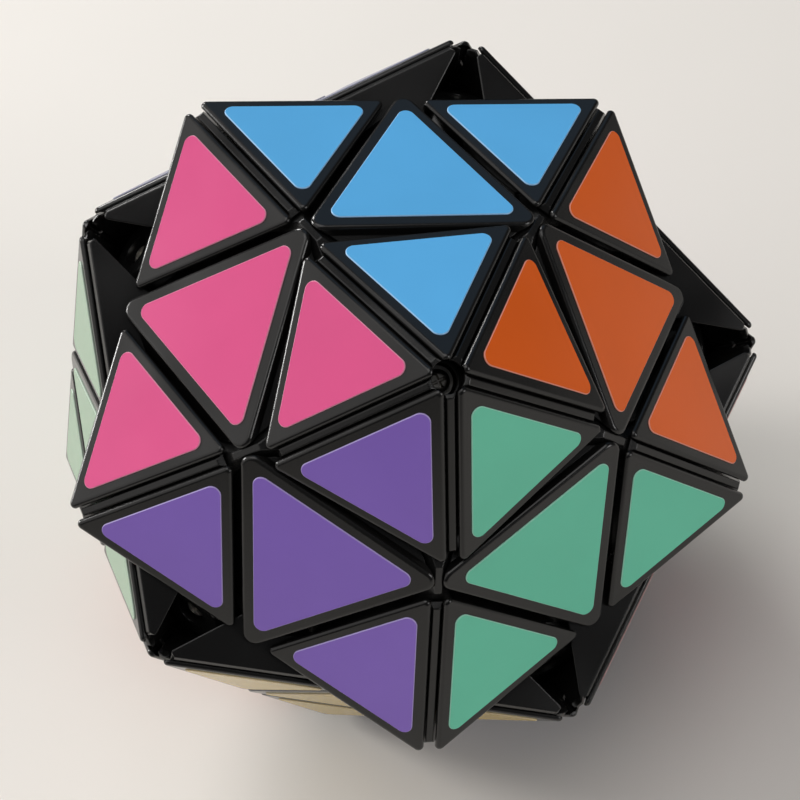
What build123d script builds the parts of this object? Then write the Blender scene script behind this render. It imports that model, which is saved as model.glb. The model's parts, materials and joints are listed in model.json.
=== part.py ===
"""Icosahedral twisty puzzle with twelve turning axes, caught with one cap of faces mid-turn.

Twenty triangular faces meet at twelve vertices, and every vertex is an axis. Each face is cut into
three corner plates and one centre plate. Five whole faces round a vertex turn as a cap, and the five
corner plates at a vertex turn by themselves as a tip. A hollow core ball carries twelve sprung turrets
on screws, and their flanges hold the feet of the face centres and edges. The tips are held by a ring
of T-shaped feet, which runs in a groove round each vertex.

One piece of each kind is made at the top vertex, where the puzzle's axis is +Z, and is then copied to
its other places. The finished puzzle stands on one face, with its origin at that face's centre.
"""
import os
from math import acos, asin, atan2, cos, degrees, radians, sin, sqrt, tan

from build123d import *

os.makedirs("parts", exist_ok=True)

# Driving dimensions, in millimetres and degrees
edge = 65.0                # edge of the icosahedron through the plates' outer faces
cap_turn = -24.8           # how far the top cap stands turned from its seat
tip_turn = 4.3             # how much further the tip on it stands turned
cut_gap = 0.3              # between pieces that turn past each other
tip_shift = 0.65           # from a face's middle lines out to where the tips' cuts meet its surface
edge_side_inset = 1.15     # from a corner plate's outline to the icosahedron's edge
cut_side_inset = 1.65      # from a corner plate's outline to the face's middle line beside it
centre_overhang = 0.5      # from that line out to a centre plate's outline, before the cut trims it
corner_plate_radius = 0.8  # corners of a corner plate
centre_plate_radius = 1.8  # corners of a centre plate
plate_round = 0.6          # soft top edge of every plate
rim_height = 0.8           # of a corner plate's edge, down to the undercut
undercut = 0.7             # depth of that undercut, which leaves a shadow gap along the ridges
undercut_height = 1.6
ridge_depth = 1.05         # from the icosahedron's edge down to the ridge between plates
ridge_round = 0.2          # soft edges of that ridge, and of a wedge towards the vertex
ridge_ends = (4.8, 28.5)   # from the edge's middle to the two ends of each ridge
ridge_end_slope = 45.0     # of the end faces of a ridge
vertex_hole = 2.25         # radius of the hole at a vertex, over its screw
sticker_thickness = 0.2
sticker_bevel = 0.1        # of the cut edge
sticker_radius = 1.3       # corners of a sticker
corner_sticker_inset = 2.85     # from the icosahedron's edge
corner_sticker_cut_inset = 3.2  # from the face's middle line
centre_sticker_inset = 1.4      # from the face's middle lines

core_radius = 27.0
core_wall = 4.0
raw_depth = 21.6           # distance from the centre that outlines start at, before the core trims them
foot_top = 30.8            # radius of the sphere that parts the feet from the necks
foot_angle = 48.0          # half angle of a cap's boundary cone among the feet
neck_angle = 42.0          # the same among the necks

groove_neck = (14.6, 17.3)  # inner and outer radius of the tip groove's mouth
groove_foot = (13.6, 18.6)  # and of its wider floor
groove_lip = 1.6            # thickness of the lip over the foot
groove_depth = 2.2          # height of the foot's space

screw_shank = 1.0          # radius
screw_point = 0.5          # radius of the shank's end
screw_head = 1.65          # radius
screw_head_height = 1.3
screw_head_round = 0.78    # of the head's rim
screw_slot = (0.5, 2.0, 0.8)  # width, length and depth of each arm of the cross recess
screw_slot_taper = 12.0    # degrees that its walls lean inwards
screw_end = 18.0           # from the centre out to the screw's end
screw_fit = 0.02           # radial, between the shank and the core's bosses
screw_head_drop = 11.0     # from the vertex down to the top of the head
turret_drop = 10.3         # from the vertex down to the turret's rim
washer_thickness = 0.5
spring_length = 7.5
spring_wire = 0.3          # radius
spring_turns = 5
spring_radius = 1.75       # to the middle of the wire
turret_bore = 1.2          # radius, running on the shank
turret_pocket = 2.5        # radius of the pocket for spring, washer and head
turret_stem = 6.8          # radius
flange_bend = 4.0          # degrees in from the flange's rim, where its sole's arc is fixed
boss_radius = 3.5          # of the core's bosses, which take the screws

# Proportions of the icosahedron, each times its edge
golden = (1 + sqrt(5)) / 2
vertex_radius = edge * sqrt(golden * sqrt(5)) / 2
face_distance = edge * golden ** 2 / (2 * sqrt(3))
edge_distance = edge * golden / 2
ring_height = vertex_radius / sqrt(5)
ring_radius = 2 * ring_height
cap_cut = ring_height
face_radius = edge / sqrt(3)
face_inradius = face_radius / 2
face_tilt = degrees(atan2(ring_radius * cos(radians(36)) * 2 / 3, (vertex_radius + 2 * ring_height) / 3))
tip_cut = edge_distance ** 2 / vertex_radius + tip_shift * sin(radians(face_tilt))
edge_lean = acos(face_distance / edge_distance)                 # of a face against its edge
cut_lean = asin(vertex_radius / (sqrt(5) * edge_distance))      # of a cap's flat cut against the edge
far = 2 * edge
half_gap = cut_gap / 2


def ring_point(step, height):
    """A vertex of the upper or lower ring: step counts 72 degree turns."""
    angle = radians(72 * step)
    return Vector(ring_radius * cos(angle), ring_radius * sin(angle), height)


apex = Vector(0, 0, vertex_radius)
base = Vector(0, 0, -vertex_radius)
upper = [ring_point(k, ring_height) for k in range(5)]
lower = [ring_point(k + 0.5, -ring_height) for k in range(5)]


def turned(angle):
    """A turn about the top vertex's axis, in degrees."""
    return Location((0, 0, 0), (0, 0, angle))


def seat(vertex, neighbour):
    """The turn that takes the top vertex and its first neighbour to this vertex and neighbour."""
    return Plane(origin=(0, 0, 0), x_dir=neighbour - vertex * (neighbour.dot(vertex) / vertex_radius ** 2),
                 z_dir=vertex).location


axle_seats = [seat(apex, upper[0]), seat(base, lower[0])]
axle_seats += [seat(vertex, apex) for vertex in upper] + [seat(vertex, base) for vertex in lower]

first, second, last = upper[0], upper[1], upper[4]
face_normal = (apex + first + second).normalized()
face_plane = Plane(origin=face_normal * face_distance, x_dir=apex - face_normal * face_distance,
                   z_dir=face_normal)
edge_normal = (apex + first).normalized()
edge_plane = Plane(origin=edge_normal * edge_distance, x_dir=apex - first, z_dir=edge_normal)
face_axis = Axis((0, 0, 0), tuple(face_normal))
edge_axis = Axis((0, 0, 0), tuple(edge_normal))


# ---------------------------------------------------------------- the spaces that turn
def on_cone(angle, offset, radius):
    """A point of the cone's line moved inwards by offset, at this distance from the centre."""
    along = sqrt(radius ** 2 - offset ** 2)
    return Vector(sin(radians(angle)) * along - cos(radians(angle)) * offset,
                  cos(radians(angle)) * along + sin(radians(angle)) * offset)


def cap_space(offset):
    """The space of the top cap, made smaller all round by offset (larger where it is negative)."""
    step = foot_top - offset
    floor = cap_cut + offset
    foot_corner = on_cone(foot_angle, offset, step)
    neck_corner = on_cone(neck_angle, offset, step)
    middle = on_cone((foot_angle + neck_angle) / 2, offset, step)
    rise = (floor - neck_corner.Y) / cos(radians(neck_angle))
    ledge = neck_corner + Vector(sin(radians(neck_angle)), cos(radians(neck_angle))) * rise
    inner = on_cone(foot_angle, offset, raw_depth)
    start = Vector(0, inner.Y / 2)
    with BuildPart() as space:
        with BuildSketch(Plane.XZ):
            with BuildLine():
                Polyline(start, inner, foot_corner)
                ThreePointArc(foot_corner, middle, neck_corner)
                Polyline(neck_corner, ledge, (far, floor), (far, far), (0, far), start)
            make_face()
        revolve(axis=Axis.Z)
    return space.part


def tip_space(offset):
    """The space of the top tip with its ring foot, made smaller all round by offset."""
    floor = tip_cut + offset
    lip = tip_cut - groove_lip - offset
    sole = tip_cut - groove_lip - groove_depth + offset
    with BuildPart() as space:
        with BuildSketch(Plane.XZ):
            with BuildLine():
                Polyline((0, floor), (groove_neck[0] + offset, floor), (groove_neck[0] + offset, lip),
                         (groove_foot[0] + offset, lip), (groove_foot[0] + offset, sole),
                         (groove_foot[1] - offset, sole), (groove_foot[1] - offset, lip),
                         (groove_neck[1] - offset, lip), (groove_neck[1] - offset, floor),
                         (far, floor), (far, far), (0, far), close=True)
            make_face()
        revolve(axis=Axis.Z)
    return space.part


cap_inside = cap_space(half_gap)
cap_outside = cap_space(-half_gap)
tip_inside = tip_space(half_gap)
tip_outside = tip_space(-half_gap)


def triangle(tip, side, radius):
    """A rounded equilateral triangle on the X axis: one tip at X = tip, the side opposite at X = side."""
    half = abs(tip - side) * tan(radians(30))
    with BuildSketch() as face:
        with BuildLine():
            Polyline((tip, 0), (side, half), (side, -half), close=True)
        make_face()
        fillet(face.vertices(), radius)
    return face.sketch


def keep_inside(space, *vertices):
    """Cut the part being built down to this space, seated at each vertex."""
    for vertex in vertices:
        with Locations(seat(vertex, apex if vertex != apex else first)):
            add(space, mode=Mode.INTERSECT)


def take_away(space, *vertices):
    """Cut this space, seated at each vertex, out of the part being built."""
    for vertex in vertices:
        with Locations(seat(vertex, apex if vertex != apex else first)):
            add(space, mode=Mode.SUBTRACT)


def facing(part, *vertices):
    """The flat faces of a part that are square to the axis of any of these vertices."""
    return [face for face in part.faces() for vertex in vertices
            if face.is_planar and abs(face.normal_at().dot(vertex.normalized())) > 0.999]


def shared_edges(faces, others):
    """Edges where one of these faces meets one of the others."""
    return [line for face in faces for line in face.edges() for other in others
            if any(line.is_same(found) for found in other.edges())]


# ---------------------------------------------------------------- one piece of each kind
centre_outline = triangle(-2 * centre_overhang - face_radius / 2, face_inradius / 2 + centre_overhang,
                          centre_plate_radius)
with BuildPart() as face_centre:
    with BuildSketch(face_plane):
        add(centre_outline)
    extrude(amount=-undercut_height)
    fillet(face_centre.faces().sort_by(face_axis)[-1].outer_wire().edges(), plate_round)
    with BuildSketch(face_plane.offset(-undercut_height)):
        add(centre_outline)
    extrude(amount=-(face_distance - raw_depth), taper=face_tilt - 90)
    keep_inside(cap_inside, apex, first, second)
    take_away(tip_outside, apex, first, second)
    Sphere(core_radius + cut_gap, mode=Mode.SUBTRACT)

# The space under the plates' rims, on both sides of the ridge between them
along_edge = (apex - first).normalized()
across_edge = Plane(origin=edge_normal * edge_distance, x_dir=edge_normal.cross(along_edge), z_dir=along_edge)
down_cut = Vector(sin(cut_lean), -cos(cut_lean))
into_face = Vector(cos(edge_lean), -sin(edge_lean))
under_face = Vector(-sin(edge_lean), -cos(edge_lean))
rim_foot = into_face * edge_side_inset + under_face * rim_height
recess_top = rim_foot + into_face * undercut
recess_low = recess_top + down_cut * undercut_height
recess_end = down_cut * (undercut - recess_low.Y) / cos(cut_lean)
recess = [rim_foot, recess_top, recess_low, recess_end]
with BuildPart() as rim_recess:
    with BuildSketch(across_edge):
        with BuildLine():
            Polyline(*[(p.X, p.Y) for p in recess], *[(-p.X, p.Y) for p in reversed(recess)], close=True)
        make_face()
    extrude(amount=edge, both=True)

corner_outline = triangle(face_radius - 2 * edge_side_inset, face_inradius / 2 + cut_side_inset,
                          corner_plate_radius)
with BuildPart() as corner_piece:
    with BuildSketch(face_plane):
        add(corner_outline)
    extrude(amount=-(face_distance - cap_cut))
    fillet(corner_piece.faces().sort_by(face_axis)[-1].outer_wire().edges(), plate_round)
    keep_inside(cap_inside, first, second)
    keep_inside(tip_inside, apex)
    with Locations(turned(0), turned(72)):
        add(rim_recess.part, mode=Mode.SUBTRACT)
    Cylinder(vertex_hole, 2 * far, mode=Mode.SUBTRACT)

end_along = along_edge * sin(radians(ridge_end_slope))
end_out = edge_normal * cos(radians(ridge_end_slope))
with BuildPart() as edge_wedge:
    with BuildSketch(edge_plane.offset(-ridge_depth)):
        Rectangle(far, edge)
    extrude(amount=-(edge_distance - cap_cut))
    keep_inside(cap_inside, first)
    keep_inside(tip_inside, apex)
    take_away(cap_outside, second, last)
    for end, side in zip(ridge_ends, (-1, 1)):
        end_point = edge_plane.from_local_coords((end, 0, -ridge_depth))
        with BuildSketch(Plane(origin=end_point, x_dir=along_edge.cross(edge_normal),
                               z_dir=end_along * side + end_out)):
            Rectangle(edge, edge)
        extrude(amount=far, mode=Mode.SUBTRACT)
    Cylinder(vertex_hole, 2 * far, mode=Mode.SUBTRACT)
    ridge_edges = edge_wedge.faces().sort_by(edge_axis)[-1].outer_wire().edges()
    inner_edges = shared_edges(facing(edge_wedge, second, last), facing(edge_wedge, first))
    fillet([*ridge_edges, *inner_edges], ridge_round)

with BuildPart() as hidden_edge:
    with BuildSketch(edge_plane.offset(-ridge_depth)):
        Rectangle(far, edge)
    extrude(amount=-(edge_distance - raw_depth))
    keep_inside(cap_inside, apex, first)
    take_away(cap_outside, second, last)
    take_away(tip_outside, apex, first)
    Sphere(core_radius + cut_gap, mode=Mode.SUBTRACT)


vertex_spread = degrees(atan2(ring_radius, ring_height))
flange_angle = vertex_spread - neck_angle
head_top = vertex_radius - screw_head_drop
head_seat = head_top - screw_head_height
washer_seat = head_seat - washer_thickness
pocket_floor = washer_seat - spring_length
turret_rim = vertex_radius - turret_drop
turret_foot = core_radius + half_gap
flange_sole = foot_top + half_gap


def beside_cuts(height):
    """Radius at this height that stays clear of the five neighbouring caps' flat cuts."""
    return (vertex_radius - height) / 2 - cut_gap / cos(radians(vertex_spread / 2))


with BuildPart() as turret:
    flange_in = Vector(turret_stem, sqrt(flange_sole ** 2 - turret_stem ** 2))
    flange_out = on_cone(flange_angle, cut_gap, flange_sole)
    flange_middle = on_cone(flange_angle - flange_bend, cut_gap, flange_sole)
    shoulder = on_cone(flange_angle, cut_gap, cap_cut / cos(radians(neck_angle)) - cut_gap)
    with BuildSketch(Plane.XZ):
        with BuildLine():
            Polyline((turret_bore, turret_foot), (turret_stem, turret_foot), flange_in)
            ThreePointArc(flange_in, flange_middle, flange_out)
            Polyline(flange_out, shoulder, (beside_cuts(turret_rim), turret_rim),
                     (turret_pocket, turret_rim), (turret_pocket, pocket_floor),
                     (turret_bore, pocket_floor), (turret_bore, turret_foot))
        make_face()
    revolve(axis=Axis.Z)

with BuildPart() as screw:
    with BuildSketch(Plane.XZ):
        with BuildLine():
            Polyline((0, screw_end), (screw_point, screw_end), (screw_shank, screw_end + screw_shank),
                     (screw_shank, head_seat), (screw_head, head_seat), (screw_head, head_top),
                     (0, head_top), close=True)
        make_face()
    revolve(axis=Axis.Z)
    fillet(screw.edges().sort_by(Axis.Z)[-1], screw_head_round)
    with BuildSketch(Plane.XY.offset(head_top)):
        Rectangle(screw_slot[1], screw_slot[0])
        Rectangle(screw_slot[0], screw_slot[1])
    extrude(amount=-screw_slot[2], taper=screw_slot_taper, mode=Mode.SUBTRACT)

with BuildPart() as washer:
    with BuildSketch(Plane.XY.offset(washer_seat)):
        Circle(turret_pocket - cut_gap)
        Circle(screw_shank + half_gap, mode=Mode.SUBTRACT)
    extrude(amount=washer_thickness)

spring_rise = spring_length - 2 * spring_wire
with BuildPart() as spring:
    with BuildLine(Plane.XY.offset(pocket_floor + spring_wire)):
        coil = Helix(pitch=spring_rise / spring_turns, height=spring_rise, radius=spring_radius)
    with BuildSketch(Plane(origin=coil @ 0, z_dir=coil % 0)):
        Circle(spring_wire)
    sweep()

with BuildPart() as core:
    Sphere(core_radius)
    Sphere(core_radius - core_wall, mode=Mode.SUBTRACT)
    with Locations(*axle_seats):
        with Locations((0, 0, screw_end)):
            Cylinder(boss_radius, core_radius - core_wall / 2 - screw_end,
                     align=(Align.CENTER, Align.CENTER, Align.MIN))
        Cylinder(screw_shank + screw_fit, far, align=(Align.CENTER, Align.CENTER, Align.MIN),
                 mode=Mode.SUBTRACT)

corner_sticker_outline = triangle(face_radius - 2 * corner_sticker_inset,
                                  face_inradius / 2 + corner_sticker_cut_inset, sticker_radius)
with BuildPart() as corner_sticker:
    with BuildSketch(face_plane):
        add(corner_sticker_outline)
    extrude(amount=sticker_thickness)
    chamfer(corner_sticker.faces().sort_by(face_axis)[-1].outer_wire().edges(), sticker_bevel)

centre_sticker_outline = triangle(2 * centre_sticker_inset - face_radius / 2,
                                  face_inradius / 2 - centre_sticker_inset, sticker_radius)
with BuildPart() as centre_sticker:
    with BuildSketch(face_plane):
        add(centre_sticker_outline)
    extrude(amount=sticker_thickness)
    chamfer(centre_sticker.faces().sort_by(face_axis)[-1].outer_wire().edges(), sticker_bevel)


# ---------------------------------------------------------------- where every copy goes
def pairs(corners):
    """Each corner of a face with the next one round it, which is what a seat needs."""
    return [(corners[i], corners[(i + 1) % 3]) for i in range(3)]


# Faces by colour, each as its three vertices, counterclockwise from outside. Opposite faces are alike,
# except that the band's colours differ from those of the two caps.
cap_colours = ["teal", "orange", "blue", "pink", "purple"]
band_colours = ["red", "white", "navy", "mint", "yellow"]
top_faces = {colour: (apex, upper[k], upper[(k + 1) % 5]) for k, colour in enumerate(cap_colours)}
base_faces = {colour: (base, lower[(k + 3) % 5], lower[(k + 2) % 5])
              for k, colour in enumerate(cap_colours)}
hanging_faces = {colour: (lower[k], upper[(k + 1) % 5], upper[k]) for k, colour in enumerate(band_colours)}
standing_faces = {colour: (upper[(k + 3) % 5], lower[(k + 2) % 5], lower[(k + 3) % 5])
                  for k, colour in enumerate(band_colours)}
tip_names = {"apex_tip": apex, "base_tip": base}
tip_names.update({f"lower_tip_{k + 1}": lower[k] for k in range(5)})
ring_edges = [(upper[k], upper[(k + 1) % 5]) for k in range(5)]
rising_edges = [(upper[k], apex) for k in range(5)]
slanting_edges = [(lower[k], upper[k]) for k in range(5)]
slanting_edges += [(lower[k], upper[(k + 1) % 5]) for k in range(5)]
low_edges = [(lower[k], lower[(k + 1) % 5]) for k in range(5)] + [(lower[k], base) for k in range(5)]

above_table = Location((0, 0, face_distance + sticker_thickness))
stand = above_table * Location((0, 0, 0), (face_tilt, 0, 0)) * turned(-90)
cap_place = stand * turned(cap_turn)
tip_place = cap_place * turned(tip_turn)


def make_node(name, piece, place, seats):
    """Write one node: a copy of the piece at each seat, all standing at the same place."""
    make_mixed_node(name, place, [(piece, seats)])


def make_mixed_node(name, place, batches):
    """The same for a node of several kinds: each batch is a piece and its seats."""
    with BuildPart() as node:
        for piece, seats in batches:
            with Locations(*[place * spot for spot in seats]):
                add(piece.part, clean=False)
    node.part.label = name
    export_step(node.part, f"parts/{name}.step")


# ---------------------------------------------------------------- the core and what stands still
make_node("core", core, stand, [turned(0)])
make_node("tension_screws", screw, stand, axle_seats)
make_node("tension_springs", spring, stand, axle_seats)
make_node("spring_washers", washer, stand, axle_seats)
make_node("vertex_turrets", turret, stand, axle_seats[1:])
make_node("hidden_edges", hidden_edge, stand,
          [seat(*ends) for ends in ring_edges + slanting_edges + low_edges])
make_node("band_face_centres", face_centre, stand,
          [seat(*pairs(face)[0]) for face in [*hanging_faces.values(), *standing_faces.values()]])
make_node("base_face_centres", face_centre, stand,
          [seat(*pairs(face)[0]) for face in base_faces.values()])
band_corners = [pair for face in [*hanging_faces.values(), *standing_faces.values()] for pair in pairs(face)
                if pair[0] in upper]
make_node("ring_corner_pieces", corner_piece, stand, [seat(*pair) for pair in band_corners])
ring_wedges = ring_edges + [(b, a) for a, b in ring_edges + slanting_edges]
make_node("ring_edge_wedges", edge_wedge, stand, [seat(*ends) for ends in ring_wedges])
for colour, face in base_faces.items():
    make_node(f"stickers_base_{colour}", centre_sticker, stand, [seat(*pairs(face)[0])])
for colour in band_colours:
    faces = [hanging_faces[colour], standing_faces[colour]]
    corners = [pair for face in faces for pair in pairs(face) if pair[0] in upper]
    make_mixed_node(f"stickers_band_{colour}", stand,
                    [(centre_sticker, [seat(*pairs(face)[0]) for face in faces]),
                     (corner_sticker, [seat(*pair) for pair in corners])])

# ---------------------------------------------------------------- the cap that is mid-turn
make_node("cap_turret", turret, cap_place, axle_seats[:1])
make_node("cap_hidden_edges", hidden_edge, cap_place, [seat(*ends) for ends in rising_edges])
make_node("cap_edge_wedges", edge_wedge, cap_place, [seat(*ends) for ends in rising_edges])
cap_corners = {colour: [pair for pair in pairs(face) if pair[0] != apex]
               for colour, face in top_faces.items()}
make_node("cap_corner_pieces", corner_piece, cap_place,
          [seat(*pair) for corners in cap_corners.values() for pair in corners])
for colour, face in top_faces.items():
    make_node(f"cap_centre_{colour}", face_centre, cap_place, [seat(*pairs(face)[0])])
    make_mixed_node(f"stickers_cap_{colour}", cap_place,
                    [(centre_sticker, [seat(*pairs(face)[0])]),
                     (corner_sticker, [seat(*pair) for pair in cap_corners[colour]])])

# ---------------------------------------------------------------- the tips
for name, vertex in tip_names.items():
    place = tip_place if vertex == apex else stand
    around = [pair for faces in (top_faces, base_faces, hanging_faces, standing_faces)
              for face in faces.values() for pair in pairs(face) if pair[0] == vertex]
    seats = [seat(*pair) for pair in around]
    make_node(f"{name}_corner_pieces", corner_piece, place, seats)
    make_node(f"{name}_edge_wedges", edge_wedge, place, seats)
    if vertex != apex:
        make_node(f"{name}_stickers", corner_sticker, place, seats)
for colour, face in top_faces.items():
    make_node(f"stickers_apex_tip_{colour}", corner_sticker, tip_place, [seat(*pairs(face)[0])])
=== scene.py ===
"""Finishes an icosahedral twisty puzzle: moulded ABS plates, die-cut vinyl stickers and steel screws.

The solids, their places and the bodies that they turn with come from the frame. This file gives every
piece its material, adds what is too fine for the solids, and sets the puzzle on a table under a window.
"""
import json
from math import radians

import bmesh
import bpy
from bpy.props import FloatProperty, FloatVectorProperty, PointerProperty
from mathutils import Matrix, Vector

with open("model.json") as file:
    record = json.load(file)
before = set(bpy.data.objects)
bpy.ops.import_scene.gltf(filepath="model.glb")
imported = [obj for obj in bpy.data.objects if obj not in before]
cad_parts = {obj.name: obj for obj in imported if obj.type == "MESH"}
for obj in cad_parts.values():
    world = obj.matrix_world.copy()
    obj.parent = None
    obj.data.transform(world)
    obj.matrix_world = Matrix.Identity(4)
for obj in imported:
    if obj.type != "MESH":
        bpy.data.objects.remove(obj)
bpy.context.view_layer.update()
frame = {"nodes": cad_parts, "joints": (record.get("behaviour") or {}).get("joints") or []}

bl_info = {
    "name": "Icosahedral twisty puzzle",
    "version": (1, 0, 0),
    "blender": (4, 5, 0),
    "location": "3D View > Sidebar > Twisty puzzle",
    "description": "Dresses the puzzle's pieces and builds its stage",
    "category": "Object",
}

MM = 0.001
CENTRE = Vector(frame["joints"][0]["pos_m"])  # every turning axis runs through the puzzle's centre
FLAT_AREA = (2.5 * MM) ** 2  # a polygon above this area lies on the flat of a sticker, not on its cut edge
ONE_FACE = 0.99   # polygons whose normals' dot product is above this lie on one face of the puzzle
ONE_FLAT = 0.999  # and above this they lie on the same flat, not on a cut edge

# Colours as sRGB hex. Those of the vinyl go by the name that ends a one-colour sticker node.
VINYL_COLOURS = {
    "teal": 0x70E0BC,
    "orange": 0xFF6C12,
    "blue": 0x62BEFC,
    "pink": 0xE64E8D,
    "purple": 0x9470DA,
    "red": 0xB3161C,
    "white": 0xDEDDD8,
    "navy": 0x1F2F73,
    "mint": 0x88AC8C,
    "yellow": 0xD9BA5E,
}
INNER_ABS_COLOUR = 0x171717
SCREW_COLOUR = 0xE8E4DC
SPRING_COLOUR = 0xB4B2AE
TABLE_COLOUR = 0xE7E3DD

ABS_IOR = 1.53
VINYL_IOR = 1.54
RIM_HIGHLIGHT_WHITE = 0.85    # painted highlight: the pale tone painted along each sticker's cut edge, so that its rim shows bright all round
RIM_HIGHLIGHT_MIX = 0.3       # how far the painted rim highlight goes from the film's own colour to that tone

TABLE_SIDE = 6.0
SENSOR_WIDTH_MM = 36
AIM_SHIFT = Vector((1.56, -0.5, -0.08)) * MM  # from the puzzle's centre to the point the camera looks at

ROOM_COLOUR = (0.86, 0.87, 0.9, 1.0)
ROOM_STRENGTH = 0.08
WARM_DAYLIGHT = (1.0, 0.97, 0.94)
LAMPLIGHT = (1.0, 0.985, 0.97)
BLUE_SKY = (0.35, 0.65, 1.0)
# Square area lights: name, direction from the puzzle, distance and side in metres, watts, colour.
LIGHTS = (
    ("window", (-0.75, 0.22, 0.64), 1.5, 1.9, 7.4, WARM_DAYLIGHT),
    ("left_lamp", (-0.66, 0.68, 0.31), 1.5, 0.35, 13.0, LAMPLIGHT),
    ("back_lamp", (0.0, 0.85, 0.50), 1.5, 0.4, 11.0, LAMPLIGHT),
    ("ceiling", (-0.05, 0.0, 1.0), 1.4, 1.1, 5.6, LAMPLIGHT),
    ("room_side", (0.55, -0.72, 0.42), 1.5, 0.6, 5.0, LAMPLIGHT),
    ("far_window", (0.53, 0.53, 0.67), 1.5, 0.9, 0.7, BLUE_SKY),
)


# ---------------------------------------------------------------- node trees
def linear(colour):
    """An sRGB hex colour as linear RGBA."""
    channels = [(colour >> shift & 255) / 255 for shift in (16, 8, 0)]
    return [c / 12.92 if c <= 0.04045 else ((c + 0.055) / 1.055) ** 2.4 for c in channels] + [1.0]


def add_node(tree, kind, values=None, links=None, **settings):
    """A node of this kind: values and links go by socket name, a link is the output it comes from."""
    made = tree.nodes.new(kind)
    for name, value in settings.items():
        setattr(made, name, value)
    for name, value in (values or {}).items():
        made.inputs[name].default_value = value
    for name, output in (links or {}).items():
        tree.links.new(output, made.inputs[name])
    return made


def new_material(name, **values):
    """A material whose Principled shader has these values, with its node tree and that shader."""
    material = bpy.data.materials.new(name)
    material.use_nodes = True
    shader = material.node_tree.nodes["Principled BSDF"]
    for socket, value in values.items():
        shader.inputs[socket.replace("_", " ")].default_value = value
    return material, material.node_tree, shader


def object_place(tree):
    """The place on the object, in metres, that every pattern here follows."""
    return add_node(tree, "ShaderNodeTexCoord").outputs["Object"]


def noise(tree, place, size_mm, detail):
    """Noise whose features are about this many millimetres across."""
    return add_node(tree, "ShaderNodeTexNoise", {"Scale": 1 / (size_mm * MM), "Detail": detail},
                    {"Vector": place}).outputs["Fac"]


def vary_roughness(tree, shader, source, lowest, highest):
    """Roughness that follows this noise, stretched from its middle half because it gathers there."""
    stretched = add_node(tree, "ShaderNodeMapRange",
                         {"From Min": 0.25, "From Max": 0.75, "To Min": lowest, "To Max": highest},
                         {"Value": source}, clamp=False)
    tree.links.new(stretched.outputs["Result"], shader.inputs["Roughness"])


def mottle(tree, shader, source, colour, darkest):
    """Base colour that this noise darkens in clouds, at most to this share of itself."""
    tone = linear(colour)
    mixed = add_node(tree, "ShaderNodeMix", links={"Factor": source}, data_type="RGBA")
    mixed.inputs["A"].default_value = tone
    mixed.inputs["B"].default_value = [c * darkest for c in tone[:3]] + [1.0]
    tree.links.new(mixed.outputs["Result"], shader.inputs["Base Color"])


def wavy_normal(tree, place, size_mm, slope):
    """The surface's normal, tilted by up to about half this slope in waves this many millimetres long."""
    waves = add_node(tree, "ShaderNodeTexNoise",
                     {"Scale": 1 / (size_mm * MM), "Detail": 4.0, "Roughness": 0.35}, {"Vector": place})
    tilt = add_node(tree, "ShaderNodeVectorMath", links={0: waves.outputs["Color"]}, operation="SUBTRACT")
    tilt.inputs[1].default_value = (0.5, 0.5, 0.5)
    scaled = add_node(tree, "ShaderNodeVectorMath", {"Scale": slope}, {0: tilt.outputs["Vector"]},
                      operation="SCALE")
    surface = add_node(tree, "ShaderNodeNewGeometry").outputs["Normal"]
    tilted = add_node(tree, "ShaderNodeVectorMath", links={0: surface, 1: scaled.outputs["Vector"]},
                      operation="ADD")
    return add_node(tree, "ShaderNodeVectorMath", links={0: tilted.outputs["Vector"]},
                    operation="NORMALIZE").outputs["Vector"]


# ---------------------------------------------------------------- materials
def abs_material(name, tone, roughness, grain_mm, relief_mm, edge_mm):
    """Injection-moulded ABS: black, smooth from a polished mould, a little cloudy where hands have been."""
    material, tree, shader = new_material(name, Base_Color=tone, IOR=ABS_IOR)
    place = object_place(tree)
    clouds = noise(tree, place, size_mm=9, detail=0.0)
    vary_roughness(tree, shader, clouds, roughness - 0.04, roughness + 0.06)
    corner = add_node(tree, "ShaderNodeBevel", {"Radius": edge_mm * MM}, samples=6)
    # The mould's own texture is finer than this grain, which is as coarse as it needs to be to show.
    height = noise(tree, place, grain_mm, detail=4.0)
    grain = add_node(tree, "ShaderNodeBump", {"Strength": 0.5, "Distance": relief_mm * MM},
                     {"Height": height, "Normal": corner.outputs["Normal"]})
    tree.links.new(grain.outputs["Normal"], shader.inputs["Normal"])
    return material


def vinyl_material(name, colour, roughness):
    """Calendered PVC film: saturated, glossy, and not quite flat where it was pressed on by hand."""
    material, tree, shader = new_material(name, IOR=VINYL_IOR)
    place = object_place(tree)
    mottle(tree, shader, noise(tree, place, size_mm=18, detail=3.0), colour, darkest=0.85)
    handled = noise(tree, place, size_mm=11, detail=3.0)
    vary_roughness(tree, shader, handled, roughness - 0.03, roughness + 0.03)
    tree.links.new(wavy_normal(tree, place, size_mm=13, slope=0.035), shader.inputs["Normal"])
    return material


def painted_rim_highlight_material(name, colour):
    """Edge of the film where the die cut it: painted paler than the face as a highlight that shows all
    round, and satin.
    """
    paler = [c + (RIM_HIGHLIGHT_WHITE - c) * RIM_HIGHLIGHT_MIX for c in linear(colour)[:3]] + [1.0]
    return new_material(name, Base_Color=paler, Roughness=0.4, IOR=VINYL_IOR)[0]


def steel_material(name, colour, roughness, grain_mm):
    """Zinc-plated or drawn steel: bright, with fine marks from the driver and the die."""
    material, tree, shader = new_material(name, Base_Color=linear(colour), Metallic=1.0)
    place = object_place(tree)
    tarnish = noise(tree, place, size_mm=0.8, detail=2.0)
    vary_roughness(tree, shader, tarnish, roughness - 0.04, roughness + 0.06)
    # Real marks are finer than 0.1 mm. These are as coarse as they need to be to show.
    marks = add_node(tree, "ShaderNodeBump", {"Strength": 0.8, "Distance": 0.04 * MM},
                     {"Height": noise(tree, place, grain_mm, detail=3.0)})
    tree.links.new(marks.outputs["Normal"], shader.inputs["Normal"])
    return material


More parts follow.
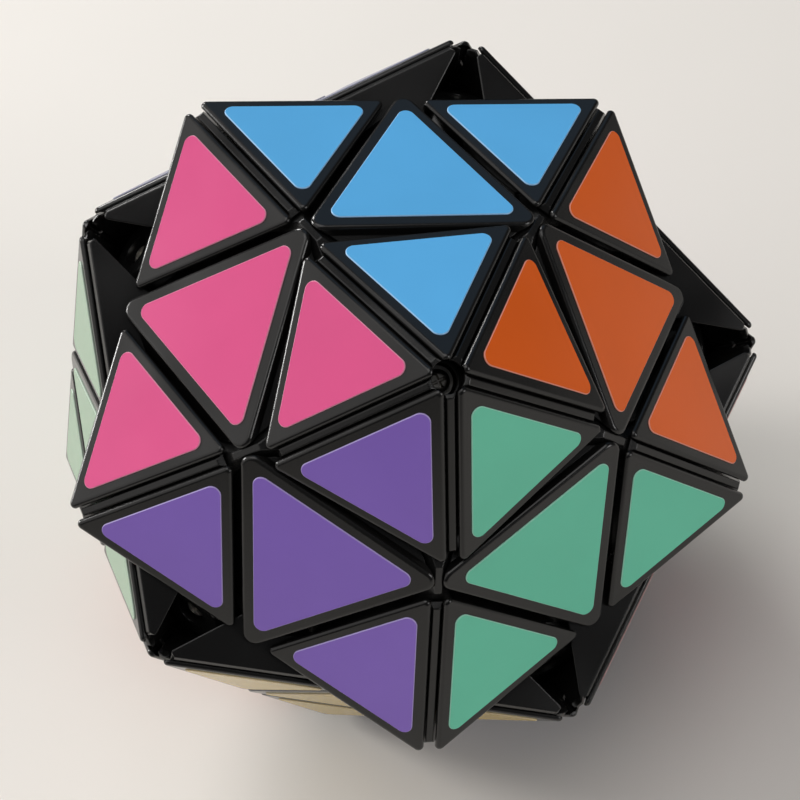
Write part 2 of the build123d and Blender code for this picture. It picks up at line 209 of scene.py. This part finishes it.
def table_material(name, colour):
    """Painted table top: smooth, off-white and matt, with the faintest mottling."""
    material, tree, shader = new_material(name, Roughness=0.75)
    mottle(tree, shader, noise(tree, object_place(tree), size_mm=60, detail=2.0), colour, darkest=0.96)
    return material


# ---------------------------------------------------------------- pieces
def nodes_named(start="", end=""):
    """The names of the CAD nodes that start and end like this; either may be a tuple of choices."""
    return [name for name in frame["nodes"] if name.startswith(start) and name.endswith(end)]


def dress(names, material):
    """Give these CAD nodes one material."""
    for name in names:
        materials = frame["nodes"][name].data.materials
        materials.clear()
        materials.append(material)


def flat_directions(node):
    """The directions that the stickers' flats face, one for each of the puzzle's faces they lie on."""
    found = []
    for polygon in node.data.polygons:
        if polygon.area > FLAT_AREA and polygon.normal.dot(polygon.center - CENTRE) > 0:
            if all(polygon.normal.dot(normal) < ONE_FACE for normal in found):
                found.append(polygon.normal.copy())
    return found


def colour_of(name):
    """The colour that ends the name of a one-colour sticker node."""
    return name.rsplit("_", 1)[1]


def colour_directions():
    """The directions of the faces outside the cap, each with its colour."""
    return [(normal, colour_of(name)) for name in nodes_named(start=("stickers_base_", "stickers_band_"))
            for normal in flat_directions(frame["nodes"][name])]


def dress_stickers(name, colours, film, rim_highlights, directions):
    """Film on the flat of each sticker, and round it its edge, painted paler as a highlight.

    A node with one colour has it all over. In a node with more, each sticker has the colour of the face
    of the puzzle that it lies on.
    """
    mesh = frame["nodes"][name].data
    mesh.materials.clear()
    for colour in colours:
        mesh.materials.append(film[colour])
        # The second material of each colour is the paler rim: a painted highlight along the cut edge.
        mesh.materials.append(rim_highlights[colour])
    flats = flat_directions(frame["nodes"][name])
    for polygon in mesh.polygons:
        colour = colours[0]
        if len(colours) > 1:
            outwards = polygon.center - CENTRE
            colour = max(directions, key=lambda face: face[0].dot(outwards))[1]
        is_flat = any(polygon.normal.dot(normal) > ONE_FLAT for normal in flats)
        polygon.material_index = 2 * colours.index(colour) + (0 if is_flat else 1)


# ---------------------------------------------------------------- stage
def lay_table(scene):
    """A flat table top under the puzzle."""
    shape = bmesh.new()
    bmesh.ops.create_grid(shape, x_segments=1, y_segments=1, size=TABLE_SIDE / 2)
    mesh = bpy.data.meshes.new("table")
    shape.to_mesh(mesh)
    shape.free()
    mesh.materials.append(table_material("table_top", TABLE_COLOUR))
    table = bpy.data.objects.new("table", mesh)
    scene.collection.objects.link(table)


def add_light(scene, name, direction, distance, side, power, colour):
    """A square area light that looks at the puzzle from this direction."""
    data = bpy.data.lights.new(name, "AREA")
    data.size = side
    data.energy = power
    data.color = colour
    light = bpy.data.objects.new(name, data)
    scene.collection.objects.link(light)
    away = Vector(direction).normalized()
    light.location = CENTRE + away * distance
    light.rotation_euler = away.to_track_quat("Z", "Y").to_euler()


def fill_room(scene):
    """The weak light that the walls of the room send back from everywhere."""
    world = bpy.data.worlds.new("room")
    world.use_nodes = True
    background = world.node_tree.nodes["Background"]
    background.inputs["Color"].default_value = ROOM_COLOUR
    background.inputs["Strength"].default_value = ROOM_STRENGTH
    scene.world = world


def set_camera(scene, look):
    """The camera, turned about the point that it looks at."""
    data = bpy.data.cameras.new("camera")
    data.lens = look.lens
    data.sensor_width = SENSOR_WIDTH_MM
    data.clip_start = 10 * MM
    camera = bpy.data.objects.new("camera", data)
    scene.collection.objects.link(camera)
    turn = (Matrix.Rotation(-look.azimuth, 4, "Z")
            @ Matrix.Rotation(radians(90) - look.elevation, 4, "X")
            @ Matrix.Rotation(look.roll, 4, "Z"))
    back = Matrix.Translation((0, 0, look.distance))
    camera.matrix_world = Matrix.Translation(CENTRE + AIM_SHIFT) @ turn @ back
    scene.camera = camera


# ---------------------------------------------------------------- add-on
class PlateLook(bpy.types.PropertyGroup):
    roughness: FloatProperty(name="Roughness", description="Gloss of the moulded plates", default=0.2,
                             min=0, max=1)
    colour: FloatVectorProperty(name="Colour", description="Colour of the ABS", subtype="COLOR", size=3,
                                default=(0.0060, 0.0058, 0.0056))


class StageLook(bpy.types.PropertyGroup):
    distance: FloatProperty(name="Camera distance", description="From the puzzle's centre to the camera",
                            default=272.8 * MM, unit="LENGTH")
    elevation: FloatProperty(name="Elevation", description="How steeply the camera looks down",
                             default=radians(52.4), subtype="ANGLE")
    azimuth: FloatProperty(name="Azimuth", description="Direction the camera looks, from +Y towards +X",
                           default=radians(13.75), subtype="ANGLE")
    roll: FloatProperty(name="Roll", description="Turn of the camera about its own axis",
                        default=radians(-15.95), subtype="ANGLE")
    lens: FloatProperty(name="Lens", description="Focal length on a 36 mm sensor", default=74.5)


class PUZZLE_OT_plates(bpy.types.Operator):
    """Dress the visible plates and wedges in moulded ABS"""
    bl_idname = "puzzle.plates"
    bl_label = "Plates and wedges"

    def execute(self, context):
        look = context.scene.puzzle_plates
        plate = abs_material("moulded_abs", [*look.colour, 1.0], look.roughness,
                             grain_mm=0.6, relief_mm=0.006, edge_mm=0.25)
        dress(nodes_named(end=("corner_pieces", "edge_wedges", "face_centres")), plate)
        dress(nodes_named(start="cap_centre_"), plate)
        return {"FINISHED"}


class PUZZLE_OT_mechanism(bpy.types.Operator):
    """Dress the core, turrets and hidden edges, and the steel that holds them"""
    bl_idname = "puzzle.mechanism"
    bl_label = "Mechanism"

    def execute(self, context):
        inner = abs_material("inner_abs", linear(INNER_ABS_COLOUR), roughness=0.2,
                             grain_mm=0.8, relief_mm=0.012, edge_mm=0.3)
        dress(nodes_named(end=("core", "turret", "turrets", "hidden_edges")), inner)
        plated = steel_material("plated_screw_steel", SCREW_COLOUR, roughness=0.35, grain_mm=0.35)
        dress(["tension_screws"], plated)
        sprung = steel_material("spring_steel", SPRING_COLOUR, roughness=0.36, grain_mm=0.2)
        dress(["tension_springs", "spring_washers"], sprung)
        return {"FINISHED"}


class PUZZLE_OT_stickers(bpy.types.Operator):
    """Dress the stickers, with a painted highlight on the cut rim round each"""
    bl_idname = "puzzle.stickers"
    bl_label = "Stickers"

    def execute(self, context):
        film = {}
        rim_highlights = {}
        for colour, tone in VINYL_COLOURS.items():
            film[colour] = vinyl_material(f"vinyl_{colour}", tone, roughness=0.22)
            # The rim material paints a highlight round each sticker's cut edge, whether or not a lamp
            # catches it.
            rim_highlights[colour] = painted_rim_highlight_material(f"vinyl_rim_highlight_{colour}", tone)
        directions = colour_directions()
        for name in nodes_named(start="stickers_"):
            dress_stickers(name, [colour_of(name)], film, rim_highlights, directions)
        for name in nodes_named(end="_stickers"):
            dress_stickers(name, list(VINYL_COLOURS), film, rim_highlights, directions)
        return {"FINISHED"}


class PUZZLE_OT_stage(bpy.types.Operator):
    """Table, lights and camera"""
    bl_idname = "puzzle.stage"
    bl_label = "Stage"

    def execute(self, context):
        scene = context.scene
        lay_table(scene)
        for light in LIGHTS:
            add_light(scene, *light)
        fill_room(scene)
        set_camera(scene, scene.puzzle_stage)
        scene.view_settings.view_transform = "Standard"
        return {"FINISHED"}


class PUZZLE_PT_panel(bpy.types.Panel):
    bl_label = "Twisty puzzle"
    bl_space_type = "VIEW_3D"
    bl_region_type = "UI"
    bl_category = "Twisty puzzle"

    def draw(self, context):
        for operator in OPERATORS:
            self.layout.operator(operator.bl_idname)
        for setting in ("roughness", "colour"):
            self.layout.prop(context.scene.puzzle_plates, setting)
        for setting in ("distance", "elevation", "azimuth", "roll", "lens"):
            self.layout.prop(context.scene.puzzle_stage, setting)


OPERATORS = (PUZZLE_OT_plates, PUZZLE_OT_mechanism, PUZZLE_OT_stickers, PUZZLE_OT_stage)
CLASSES = (PlateLook, StageLook, *OPERATORS, PUZZLE_PT_panel)


def register():
    for made in CLASSES:
        bpy.utils.register_class(made)
    bpy.types.Scene.puzzle_plates = PointerProperty(type=PlateLook)
    bpy.types.Scene.puzzle_stage = PointerProperty(type=StageLook)


def unregister():
    del bpy.types.Scene.puzzle_stage
    del bpy.types.Scene.puzzle_plates
    for made in reversed(CLASSES):
        bpy.utils.unregister_class(made)


def main():
    register()
    bpy.ops.puzzle.plates()
    bpy.ops.puzzle.mechanism()
    bpy.ops.puzzle.stickers()
    bpy.ops.puzzle.stage()


if __name__ == "__main__":
    main()
